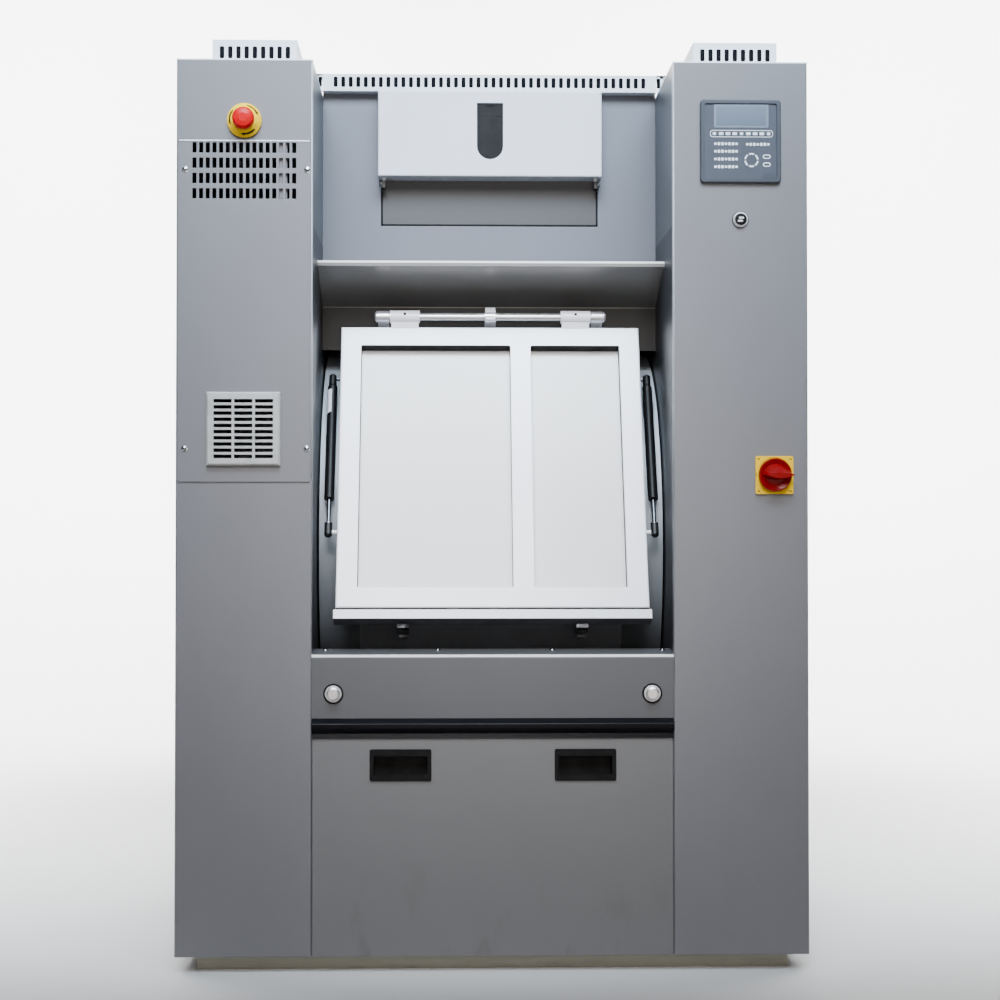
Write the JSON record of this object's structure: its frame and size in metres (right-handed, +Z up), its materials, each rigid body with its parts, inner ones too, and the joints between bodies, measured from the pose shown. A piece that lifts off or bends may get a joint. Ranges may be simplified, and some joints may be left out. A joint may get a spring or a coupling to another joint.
{
  "type": "barrier washer",
  "caption": "Tall barrier washing machine with two side columns, a leaning loading door on gas struts, a hatch drum and a tipping soap dispenser.",
  "frame": {"origin": "on the floor, at the centre of the four anchor holes", "axes": "+X to the right of someone at the loading side, +Y to the unloading side, +Z up"},
  "size_m": [1.4, 1.425, 2.077],
  "materials": {
    "grey_paint": "satin powder coat",
    "polished_steel": "polished",
    "stainless": "fine brushed",
    "white_paint": "smooth satin coat",
    "bright_steel": "polished",
    "galvanised": "zinc",
    "black_paint": "gloss coat",
    "cast_metal": "as cast, machined",
    "black_plastic": "moulded",
    "black_rubber": "matt",
    "red_plastic": "moulded",
    "yellow_plastic": "moulded",
    "dark_plastic": "moulded",
    "pale_plastic": "moulded"
  },
  "bodies": {
    "cabinet": {"air_louvre": "pale_plastic", "back_collar": "stainless", "back_hinge": "bright_steel", "back_hood": "polished_steel", "back_lower_panel": "grey_paint", "base_rails": "galvanised", "bearing_housings": "cast_metal", "bridge_back_panel": "grey_paint", "bridge_front_panel": "grey_paint", "bridge_roof": "grey_paint", "bumper_rail": "black_plastic", "cup_handles": "black_plastic", "dispenser_box": "stainless", "drive_belt": "black_rubber", "drive_motor": "black_paint", "front_collar": "stainless", "front_door_seal": "black_rubber", "front_hinge": "bright_steel", "front_hood": "polished_steel", "key_switch_ring": "bright_steel", "keypad_frame": "dark_plastic", "keypad_membrane": "dark_plastic", "left_front_panel": "grey_paint", "left_inner_wall": "grey_paint", "left_roof_cover": "grey_paint", "left_side_panel": "grey_paint", "lower_front_panel": "grey_paint", "main_switch_plate": "yellow_plastic", "right_front_panel": "grey_paint", "right_inner_wall": "grey_paint", "right_roof_cover": "grey_paint", "right_side_panel": "grey_paint", "service_panel": "grey_paint", "sill_panel": "grey_paint", "stop_collar": "yellow_plastic", "tub_left_cap": "stainless", "tub_lower_shell": "stainless", "tub_right_cap": "stainless", "tub_upper_shell": "stainless"},
    "drum": {"drum_shell": "stainless", "drum_left_end": "stainless", "drum_right_end": "stainless", "drum_pulley": "cast_metal"},
    "upper_leaf": {"hatch_upper_leaf": "stainless"},
    "lower_leaf": {"hatch_lower_leaf": "stainless"},
    "motor_rotor": {"motor_pulley": "cast_metal"},
    "front_door": {"front_door_shell": "white_paint", "front_door_liner": "stainless", "front_door_pull": "white_paint"},
    "back_door": {"back_door": "white_paint"},
    "strut_tubes": {"strut_tubes": "black_paint"},
    "strut_rods": {"strut_rods": "galvanised"},
    "latches": {"door_latches": "galvanised"},
    "dispenser_flap": {"dispenser_flap": "white_paint", "dispenser_pull": "black_plastic"},
    "stop_button": {"stop_button": "red_plastic"},
    "key_barrel": {"key_switch_barrel": "bright_steel"},
    "main_switch": {"main_switch_knob": "red_plastic"},
    "left_button": {"left_push_button": "bright_steel"},
    "right_button": {"right_push_button": "bright_steel"}
  },
  "joints": [
    {"name": "front_door_hinge", "type": "hinge", "parent": "cabinet", "child": "front_door", "pos_m": [0, -0.37612, 1.47583], "axis": [-1, 0, 0], "range_deg": [0, 75]},
    {"name": "strut_swing", "type": "hinge", "parent": "cabinet", "child": "strut_tubes", "pos_m": [0, -0.3605, 1.32995], "axis": [-1, 0, 0], "range_deg": [-1, 83]},
    {"name": "strut_stroke", "type": "slide", "parent": "strut_tubes", "child": "strut_rods", "axis": [0, -0.4603, -0.8878], "range_m": [-0.002, 0.1778]},
    {"name": "back_door_hinge", "type": "hinge", "parent": "cabinet", "child": "back_door", "pos_m": [0, 0.37612, 1.47583], "axis": [1, 0, 0], "range_deg": [0, 75]},
    {"name": "latch_swing", "type": "hinge", "parent": "cabinet", "child": "latches", "pos_m": [0, -0.57375, 0.77768], "axis": [1, 0, 0], "range_deg": [0, 25], "stiffness_Nm_per_rad": 2, "springref_deg": -28.65},
    {"name": "drum_spin", "type": "hinge", "parent": "cabinet", "child": "drum", "pos_m": [0, 0, 0.93], "axis": [1, 0, 0], "continuous": true},
    {"name": "motor_spin", "type": "hinge", "parent": "cabinet", "child": "motor_rotor", "pos_m": [0, 0, 0.26], "axis": [1, 0, 0], "continuous": true},
    {"name": "upper_leaf_hinge", "type": "hinge", "parent": "drum", "child": "upper_leaf", "pos_m": [0, -0.28682, 1.26546], "axis": [1, 0, 0], "range_deg": [0, 95]},
    {"name": "lower_leaf_hinge", "type": "hinge", "parent": "drum", "child": "lower_leaf", "pos_m": [0, -0.43856, 0.88027], "axis": [-1, 0, 0], "range_deg": [0, 95]},
    {"name": "dispenser_tip", "type": "hinge", "parent": "cabinet", "child": "dispenser_flap", "pos_m": [0, -0.321, 1.79796], "axis": [1, 0, 0], "range_deg": [0, 42]},
    {"name": "stop_press", "type": "slide", "parent": "cabinet", "child": "stop_button", "axis": [0, 1, 0], "range_m": [0, 0.004], "stiffness_N_per_m": 800},
    {"name": "key_turn", "type": "hinge", "parent": "cabinet", "child": "key_barrel", "pos_m": [0.55, -0.67, 1.662], "axis": [0, 1, 0], "range_deg": [0, 90]},
    {"name": "main_switch_turn", "type": "hinge", "parent": "cabinet", "child": "main_switch", "pos_m": [0.624, -0.67, 1.094], "axis": [0, 1, 0], "range_deg": [0, 90]},
    {"name": "left_button_press", "type": "slide", "parent": "cabinet", "child": "left_button", "axis": [0, 1, 0], "range_m": [0, 0.005], "stiffness_N_per_m": 600},
    {"name": "right_button_press", "type": "slide", "parent": "cabinet", "child": "right_button", "axis": [0, 1, 0], "range_m": [0, 0.005], "stiffness_N_per_m": 600}
  ],
  "couplings": [
    {"joint": "strut_swing", "follows": "front_door_hinge", "ratio": 1.0767},
    {"joint": "strut_stroke", "follows": "front_door_hinge", "m_per_rad": 0.13127},
    {"joint": "motor_spin", "follows": "drum_spin", "ratio": 3.9091}
  ]
}
